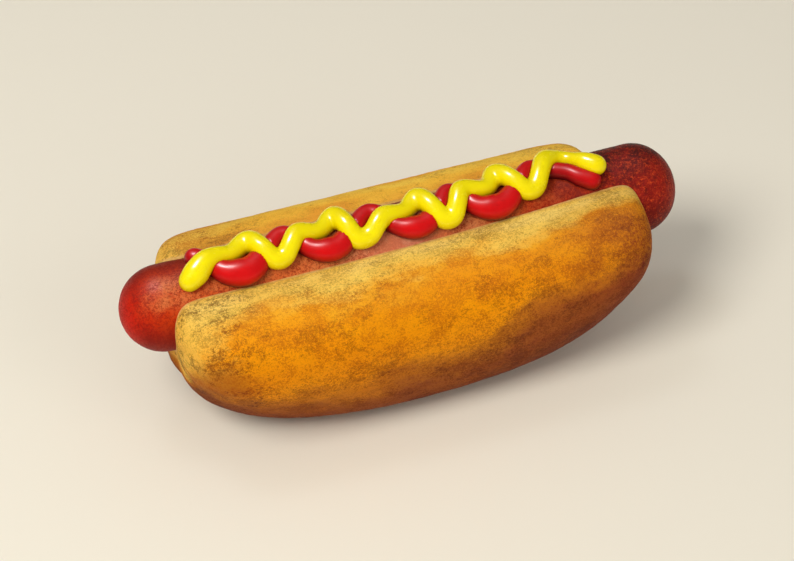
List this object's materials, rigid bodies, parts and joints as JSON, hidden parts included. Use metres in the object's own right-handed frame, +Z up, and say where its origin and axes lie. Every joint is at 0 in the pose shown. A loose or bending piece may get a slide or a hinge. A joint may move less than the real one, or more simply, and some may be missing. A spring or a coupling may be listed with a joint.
{
  "type": "hot dog",
  "caption": "Plump sausage in a soft split roll, with a bead of ketchup and a bead of mustard piped over it in waves.",
  "frame": {"origin": "bottom centre of the bounding box, on the flat base under the middle of the roll", "axes": "+X along the roll and the sausage, +Y towards the rear half of the roll, +Z up"},
  "size_m": [0.182, 0.0652, 0.064],
  "materials": {
    "crust": "soft baked crust, golden orange with pale lips and browner low down, matte",
    "meat": "smooth red-brown sausage skin, finely speckled, satin",
    "ketchup": "bright red sauce, glossy",
    "mustard": "bright yellow sauce, glossy"
  },
  "bodies": {
    "root": {"bun": "crust", "sausage": "meat", "ketchup": "ketchup", "mustard": "mustard"}
  },
  "joints": []
}
